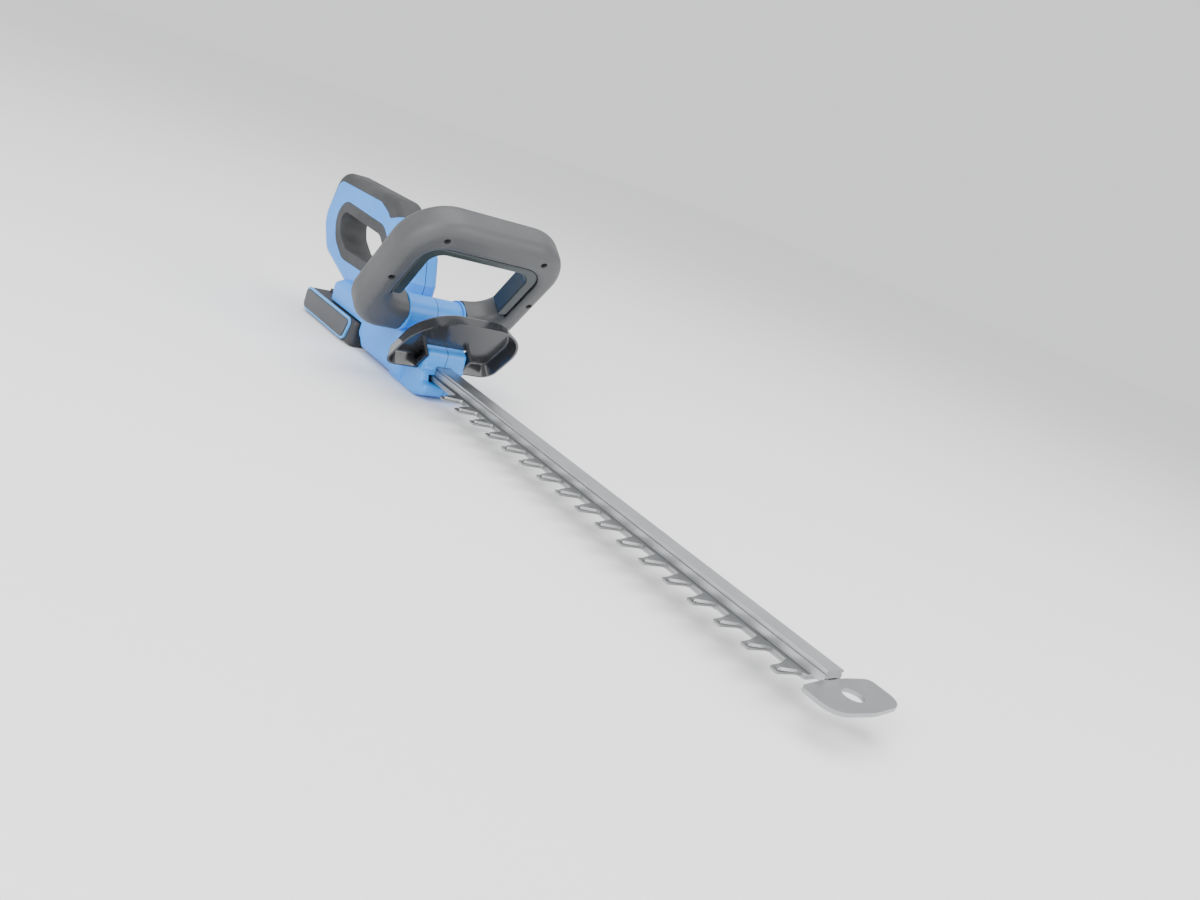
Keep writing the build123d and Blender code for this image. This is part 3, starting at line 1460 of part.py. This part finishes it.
with BuildPart() as control_board:
    with BuildSketch(Plane.XY.offset(board_z)):
        with Locations(((board_rear_x + board_front_x) / 2, 0)):
            RectangleRounded(board_front_x - board_rear_x, 2 * board_half_width, 1)
    extrude(amount=board_thickness)
    with BuildSketch(Plane.XY.offset(board_z + board_thickness)):
        with Locations((board_front_x - 7, 9), (board_front_x - 7, -9)):
            Circle(5)
    extrude(amount=12)
    with BuildSketch(Plane.XY.offset(board_z + board_thickness)):
        with Locations((board_rear_x + 9, 0)):
            with GridLocations(3, 20, 4, 1):
                Rectangle(1.4, 26)
            Rectangle(11, 26)
    extrude(amount=9)
write(control_board.part, "control_board")

block_flange_x = seat_front_x + wall + 0.1
blade_width = contact_width - 0.8
with BuildPart() as terminal_blades:
    with BuildSketch(Plane.XY.offset(pack_height + 4)):
        for step in (-1, 0, 1):
            with Locations((seat_front_x - 1.5, step * contact_pitch)):
                Rectangle(25, blade_width)
    extrude(amount=5)
write(terminal_blades.part, "terminal_blades")

with BuildPart() as terminal_block:
    with BuildSketch(Plane.XY.offset(seat_floor_z - 0.8)):
        with Locations((block_flange_x + 3, 0)):
            Rectangle(6, 31)
    extrude(amount=9.6)
    with BuildSketch(Plane.XY.offset(seat_floor_z + 0.6)):
        with Locations(((pack_front_x + 0.6 + block_flange_x) / 2, 0)):
            Rectangle(block_flange_x - pack_front_x - 0.6, 25.6)
    extrude(amount=6.8)
    with BuildSketch(Plane.XY.offset(pack_height + 4 - press_clearance)):
        for step in (-1, 0, 1):
            with Locations((seat_front_x - 1.5, step * contact_pitch)):
                Rectangle(25 + 2 * press_clearance, blade_width + 2 * press_clearance)
    extrude(amount=5 + 2 * press_clearance, mode=Mode.SUBTRACT)
write(terminal_block.part, "terminal_block")
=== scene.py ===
import bpy
import numpy as np
from mathutils import Matrix, Vector


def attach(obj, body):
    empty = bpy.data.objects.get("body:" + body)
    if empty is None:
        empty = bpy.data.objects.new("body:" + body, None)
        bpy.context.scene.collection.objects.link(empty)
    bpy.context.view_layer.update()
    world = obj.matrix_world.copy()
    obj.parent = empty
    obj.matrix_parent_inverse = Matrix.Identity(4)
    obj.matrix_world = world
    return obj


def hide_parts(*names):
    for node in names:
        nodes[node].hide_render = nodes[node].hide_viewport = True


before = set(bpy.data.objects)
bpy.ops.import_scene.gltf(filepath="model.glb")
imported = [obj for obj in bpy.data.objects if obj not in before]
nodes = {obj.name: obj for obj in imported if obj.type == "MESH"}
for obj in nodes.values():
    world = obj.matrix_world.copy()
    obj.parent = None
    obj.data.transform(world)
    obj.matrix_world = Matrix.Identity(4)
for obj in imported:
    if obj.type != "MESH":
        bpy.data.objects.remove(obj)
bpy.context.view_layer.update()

# The camera stands in front of the trimmer, to its right and a little above it, and looks back
# along the blade at the handles. Its three axes are written out as directions.
camera_data = bpy.data.cameras.new("studio_camera")
camera_data.lens = 32.69
camera_data.sensor_width = 36.0
camera_data.sensor_fit = "HORIZONTAL"
camera_data.clip_start = 0.01
camera = bpy.data.objects.new("studio_camera", camera_data)
bpy.context.scene.collection.objects.link(camera)
camera.matrix_world = Matrix((
    (0.57056, -0.41588, 0.70817, 0.93388),
    (0.75107, -0.08456, -0.65478, -0.59537),
    (0.33219, 0.90548, 0.26411, 0.30226),
    (0.0, 0.0, 0.0, 1.0),
))
bpy.context.scene.camera = camera

# The studio: a pale floor under the trimmer, a large soft light above, a key light on the
# camera's left, a weaker one on its right, and a pale room all round.


def linear(colour):
    """The linear value of an sRGB hex colour such as '#2a7fd0', each channel through the curve."""
    parts = [int(colour[i:i + 2], 16) / 255 for i in (1, 3, 5)]
    return tuple(c / 12.92 if c <= 0.04045 else ((c + 0.055) / 1.055) ** 2.4 for c in parts) + (1.0,)


def add_node(tree, kind, inputs=None, **settings):
    """Adds one shader node: settings are its properties, inputs are values or sockets to link."""
    node = tree.nodes.new(kind)
    for name, value in settings.items():
        setattr(node, name, value)
    for name, value in (inputs or {}).items():
        if isinstance(value, bpy.types.NodeSocket):
            tree.links.new(value, node.inputs[name])
        else:
            node.inputs[name].default_value = value
    return node


def soft_light(name, place, target, size, power):
    """A square area light at a place, facing a target."""
    data = bpy.data.lights.new(name, "AREA")
    data.shape = "SQUARE"
    data.size = size
    data.energy = power
    light = bpy.data.objects.new(name, data)
    light.location = place
    light.rotation_euler = (Vector(target) - Vector(place)).to_track_quat("-Z", "Y").to_euler()
    bpy.context.scene.collection.objects.link(light)


soft_light("top_light", (0.2, 0.1, 1.9), (0.15, 0.0, 0.0), 1.8, 30.0)
soft_light("key_light", (0.9, -1.6, 1.1), (0.05, 0.0, 0.05), 1.0, 30.0)
soft_light("fill_light", (1.9, 0.9, 0.8), (0.1, 0.0, 0.05), 1.2, 22.0)

world = bpy.data.worlds.new("studio_room")
world.use_nodes = True
world.node_tree.nodes["Background"].inputs["Color"].default_value = linear("#f4f5f6")
world.node_tree.nodes["Background"].inputs["Strength"].default_value = 1.15
bpy.context.scene.world = world

floor_reach = 6
floor_level = -0.0006
floor_mesh = bpy.data.meshes.new("studio_floor")
floor_corners = [
    (x * floor_reach, y * floor_reach, floor_level) for x, y in ((-1, -1), (1, -1), (1, 1), (-1, 1))
]
floor_mesh.from_pydata(floor_corners, [], [(0, 1, 2, 3)])
floor = bpy.data.objects.new("studio_floor", floor_mesh)
bpy.context.scene.collection.objects.link(floor)
floor_paint = bpy.data.materials.new("matt_floor_paint")
floor_paint.use_nodes = True
floor_shader = floor_paint.node_tree.nodes["Principled BSDF"]
floor_shader.inputs["Base Color"].default_value = linear("#fafafa")
floor_shader.inputs["Roughness"].default_value = 0.9
floor_mesh.materials.append(floor_paint)

# The housing: two shells of injection-moulded ABS in bright blue, joined on the middle plane.
# Spark-eroded tools leave a fine grain that breaks up the highlights; the joint shows as a thin
# dark line along the top, the nose and the underside.


def new_finish(name, colour, roughness, **sockets):
    """A material with one principled shader: returns it, its tree, shader and object coordinates."""
    material = bpy.data.materials.new(name)
    material.use_nodes = True
    tree = material.node_tree
    shader = tree.nodes["Principled BSDF"]
    shader.inputs["Base Color"].default_value = linear(colour)
    shader.inputs["Roughness"].default_value = roughness
    for socket, value in sockets.items():
        shader.inputs[socket.replace("_", " ")].default_value = value
    place = add_node(tree, "ShaderNodeTexCoord").outputs["Object"]
    return material, tree, shader, place


def raise_surface(tree, shader, noise, depth_mm):
    """Bumps the surface by the noise, up to `depth_mm`."""
    bump = add_node(tree, "ShaderNodeBump", {
        "Height": noise.outputs["Fac"], "Distance": depth_mm / 1000, "Strength": 1.0,
    })
    tree.links.new(bump.outputs["Normal"], shader.inputs["Normal"])


def grain(tree, shader, place, spacing_mm, depth_mm, soft=0.5):
    """Moulded grain: noise with grains `spacing_mm` apart raises the surface by up to `depth_mm`."""
    noise = add_node(tree, "ShaderNodeTexNoise", {
        "Vector": place, "Scale": 1000 / spacing_mm, "Detail": 2.0, "Roughness": soft,
    })
    raise_surface(tree, shader, noise, depth_mm)


def mottle(tree, shader, place, light, dark, spacing_mm):
    """Slow colour change between two close colours, in patches `spacing_mm` across."""
    noise = add_node(tree, "ShaderNodeTexNoise", {"Vector": place, "Scale": 1000 / spacing_mm, "Detail": 3.0})
    ramp = add_node(tree, "ShaderNodeMapRange", {
        "Value": noise.outputs["Fac"], "From Min": 0.35, "From Max": 0.65,
    })
    mix = add_node(tree, "ShaderNodeMix", {"Factor": ramp.outputs["Result"]}, data_type="RGBA")
    mix.inputs["A"].default_value = linear(dark)
    mix.inputs["B"].default_value = linear(light)
    tree.links.new(mix.outputs["Result"], shader.inputs["Base Color"])
    return mix


def rough_patches(tree, shader, place, low, high, spacing_mm):
    """Roughness between low and high, in patches `spacing_mm` across, as handling leaves."""
    noise = add_node(tree, "ShaderNodeTexNoise", {"Vector": place, "Scale": 1000 / spacing_mm, "Detail": 4.0})
    spread = add_node(tree, "ShaderNodeMapRange", {
        "Value": noise.outputs["Fac"], "From Min": 0.3, "From Max": 0.7, "To Min": low, "To Max": high,
    })
    tree.links.new(spread.outputs["Result"], shader.inputs["Roughness"])


def parting_line(tree, shader, place, mix, width_mm, shade):
    """The joint of two shells: a band of the shade, about `width_mm` over both sides of the middle."""
    axes = add_node(tree, "ShaderNodeSeparateXYZ", {"Vector": place})
    side = add_node(tree, "ShaderNodeMath", {0: axes.outputs["Y"]}, operation="ABSOLUTE")
    line = add_node(tree, "ShaderNodeMapRange", {
        "Value": side.outputs["Value"], "From Min": width_mm / 1600, "From Max": width_mm / 800,
        "To Min": 1.0, "To Max": 0.0,
    })
    joint = add_node(tree, "ShaderNodeMix", {"Factor": line.outputs["Result"]}, data_type="RGBA")
    tree.links.new(mix.outputs["Result"], joint.inputs["A"])
    joint.inputs["B"].default_value = linear(shade)
    tree.links.new(joint.outputs["Result"], shader.inputs["Base Color"])


def wear(material, *names):
    """Gives the named CAD nodes this material."""
    for name in names:
        for holder in nodes[name].material_slots:
            holder.material = material


blue_abs, tree, shader, place = new_finish("moulded_blue_abs", "#3294ef", 0.4, IOR=1.53)
blue_mix = mottle(tree, shader, place, "#3597f2", "#2e8fea", 60)
grain(tree, shader, place, 0.7, 0.02)
rough_patches(tree, shader, place, 0.34, 0.44, 25)
parting_line(tree, shader, place, blue_mix, 0.45, "#0b2c55")
wear(blue_abs, "housing_right", "housing_left")

# The grip's soft cover and the liner of the finger opening: dark TPE rubber moulded over the
# blue shells. It is matt, with a fine sandy texture that keeps a gloved hand from slipping.
grip_tpe, tree, shader, place = new_finish("overmoulded_tpe", "#3d3e40", 0.72, IOR=1.5)
mottle(tree, shader, place, "#434446", "#38393b", 30)
grain(tree, shader, place, 0.9, 0.06, 0.7)
wear(grip_tpe, "grip_cover_right", "grip_cover_left", "grip_liner_right", "grip_liner_left")

# The front handle: two half tubes of glass-filled nylon, dark grey, screwed together face to face.
# Glass fibres near the skin leave it satin and slightly cloudy.
nylon, tree, shader, place = new_finish("glass_filled_nylon", "#4a4b4d", 0.5, IOR=1.53)
mottle(tree, shader, place, "#4c4d4f", "#434446", 40)
grain(tree, shader, place, 0.8, 0.025)
rough_patches(tree, shader, place, 0.44, 0.56, 20)
wear(nylon, "front_handle_front", "front_handle_rear")

# The switch lever and the trigger: acetal, dark with a slight green tone, smooth from polished
# tools so that it slides against its neighbours.
acetal, tree, shader, place = new_finish("polished_acetal", "#2b3436", 0.36, IOR=1.48)
mottle(tree, shader, place, "#2e3739", "#283032", 25)
rough_patches(tree, shader, place, 0.3, 0.42, 15)
wear(acetal, "switch_lever", "trigger")

# The hand guard: a dish pressed out of polished black polycarbonate, with a clear gloss.
guard_pc, tree, shader, place = new_finish("polished_polycarbonate", "#2c2d30", 0.14, IOR=1.58)
mottle(tree, shader, place, "#303134", "#292a2d", 50)
rough_patches(tree, shader, place, 0.1, 0.2, 18)
wear(guard_pc, "hand_guard")

# The guide bar and the motor's plate: aluminium, satin anodised. Drawing the bar through its die
# leaves fine lines that run along it.


def drawn_lines(tree, shader, place, spacing_mm, depth_mm, along, run_mm=60):
    """Fine scratches along one axis: noise stretched to `run_mm` that way and `spacing_mm` across it."""
    stretch = [1000 / spacing_mm] * 3
    stretch[along] = 1000 / run_mm
    moved = add_node(tree, "ShaderNodeMapping", {"Vector": place, "Scale": stretch})
    noise = add_node(tree, "ShaderNodeTexNoise", {
        "Vector": moved.outputs["Vector"], "Scale": 1.0, "Detail": 3.0,
    })
    raise_surface(tree, shader, noise, depth_mm)


anodised, tree, shader, place = new_finish("satin_anodised_aluminium", "#b4b6b8", 0.42, Metallic=1.0)
drawn_lines(tree, shader, place, 0.6, 0.01, 0)
rough_patches(tree, shader, place, 0.36, 0.5, 30)
wear(anodised, "guide_bar", "motor_plate")

# The blades: laser-cut spring steel, ground bright on the tooth flanks and slightly oiled. The
# grinding marks run across the blade.
blade_steel, tree, shader, place = new_finish("ground_spring_steel", "#9a9b9c", 0.34, Metallic=1.0)
drawn_lines(tree, shader, place, 0.5, 0.012, 1, 25)
rough_patches(tree, shader, place, 0.26, 0.42, 12)
wear(blade_steel, "blade_upper", "blade_lower")

# The hanging plate, bolts, pins, springs and the gearbox's steel: zinc plated, duller than the
# ground blades, with the faint rolling lines of the sheet it is cut from.
plate_steel, tree, shader, place = new_finish("zinc_plated_steel", "#a3a4a6", 0.38, Metallic=1.0)
rough_patches(tree, shader, place, 0.32, 0.46, 14)
drawn_lines(tree, shader, place, 0.7, 0.008, 0, 30)
wear(plate_steel, "tip_plate", "tip_screw", "blade_bolts", "blade_washers", "blade_spacers", "bar_pin",
     "gear_pillars", "gear_base_plate", "gear_top_plate", "gear_spindles", "motor_can", "motor_shaft",
     "motor_screws", "trigger_pin", "lever_spring", "trigger_spring", "release_spring")

# The battery: a two-part case of black ABS with a coarser grain, a light blue rim moulded on each
# side, and a smooth charcoal panel set in it. The release button is moulded in the case's ABS.
pack_abs, tree, shader, place = new_finish("grained_black_abs", "#2a2b2d", 0.55, IOR=1.53)
mottle(tree, shader, place, "#2d2e30", "#262729", 30)
grain(tree, shader, place, 1.0, 0.04)
wear(pack_abs, "battery_case_lower", "battery_case_upper", "release_button")

rim_abs, tree, shader, place = new_finish("moulded_light_blue_abs", "#58a8ea", 0.4, IOR=1.53)
mottle(tree, shader, place, "#5aaaec", "#52a2e6", 30)
grain(tree, shader, place, 0.7, 0.02)
wear(rim_abs, "battery_rim_right", "battery_rim_left")

panel_abs, tree, shader, place = new_finish("smooth_charcoal_abs", "#3a3b3e", 0.4, IOR=1.53)
mottle(tree, shader, place, "#3c3d40", "#37383b", 25)
grain(tree, shader, place, 0.6, 0.015)
wear(panel_abs, "battery_panel_right", "battery_panel_left")

# The screws: black-oxide steel. Those of the front handle and the housing get turned pan heads
# with a broached six-lobed socket, sunk in their holes; their shanks are hidden in the posts.
black_oxide, tree, shader, place = new_finish("black_oxide_steel", "#2b2c2f", 0.38, Metallic=1.0)
rough_patches(tree, shader, place, 0.32, 0.46, 6)
wear(black_oxide, "battery_screws")


head_reach = 0.007


def screw_spots(name, axis):
    """Centres of the separate screws of a CAD node, each moved up `axis` to the top of its head."""
    mesh = nodes[name].data
    points = np.empty(len(mesh.vertices) * 3)
    mesh.vertices.foreach_get("co", points)
    points = points.reshape(-1, 3)
    axis = np.array(axis) / np.linalg.norm(axis)
    flat = points - np.outer(points @ axis, axis)
    spots = []
    while len(points):
        near = np.linalg.norm(flat - flat[0], axis=1) < head_reach
        low, high = flat[near].min(axis=0), flat[near].max(axis=0)
        spots.append((low + high) / 2 + axis * (points[near] @ axis).max())
        points, flat = points[~near], flat[~near]
    return spots


head_radius_mm = 2.9
head_height_mm = 2.0
socket_radius_mm = 1.25


def socket_heads(name, replaced, axis):
    """Rings about the axis, joined into a closed skin: socket floor, six-lobed wall (its radius is
    the socket's times one plus an eighth of the cosine of six times the angle), domed top, side,
    underside. One head stands at each screw of the replaced node."""
    spots = screw_spots(replaced, axis)
    axis = np.array(axis) / np.linalg.norm(axis)
    side = np.cross(axis, (0.0, 1.0, 0.0) if abs(axis[1]) < 0.9 else (1.0, 0.0, 0.0))
    side = side / np.linalg.norm(side)
    other = np.cross(axis, side)
    turn = np.linspace(0, 2 * np.pi, 48, endpoint=False)
    lobed = socket_radius_mm * (1 + 0.125 * np.cos(6 * turn))
    plain = head_radius_mm * np.ones_like(turn)
    rings = [(0.9 * lobed, -1.0), (lobed, -0.9), (lobed, -0.02), (1.08 * lobed, 0.0), (0.7 * plain, -0.06),
             (0.88 * plain, -0.3), (0.98 * plain, -0.75), (plain, -1.1), (plain, -head_height_mm)]
    radii = np.array([ring for ring, _ in rings]) / 1000
    heights = np.array([height for _, height in rings]) / 1000
    shape = (radii[..., None] * (np.cos(turn)[None, :, None] * side + np.sin(turn)[None, :, None] * other)
             + heights[:, None, None] * axis)
    count = len(turn)
    shape = np.vstack([shape.reshape(-1, 3), [axis * heights[0]], [axis * heights[-1]]])
    row, column = np.meshgrid(np.arange(len(rings) - 1), np.arange(count), indexing="ij")
    after = (column + 1) % count
    quads = np.stack([row * count + column, row * count + after,
                      (row + 1) * count + after, (row + 1) * count + column], axis=-1).reshape(-1, 4)
    step = np.arange(count)
    floor_fan = np.stack([(step + 1) % count, step, np.full(count, len(rings) * count)], axis=-1)
    base = (len(rings) - 1) * count
    under_fan = np.stack([base + step, base + (step + 1) % count, np.full(count, len(rings) * count + 1)],
                         axis=-1)
    points = np.vstack([shape + spot for spot in spots])
    faces = []
    for index in range(len(spots)):
        shift = index * len(shape)
        faces += (quads[:, ::-1] + shift).tolist() + (floor_fan[:, ::-1] + shift).tolist()
        faces += (under_fan[:, ::-1] + shift).tolist()
    mesh = bpy.data.meshes.new(name)
    mesh.from_pydata(points.tolist(), [], faces)
    mesh.materials.append(black_oxide)
    piece = bpy.data.objects.new(name, mesh)
    bpy.context.scene.collection.objects.link(piece)
    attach(piece, "tool")
    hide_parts(replaced)


handle_lean = np.radians(35)
socket_heads("handle_socket_heads", "handle_screws", (np.cos(handle_lean), 0.0, -np.sin(handle_lean)))
socket_heads("shell_socket_heads", "housing_screws", (0, 1, 0))
wear(black_oxide, "guard_screws")
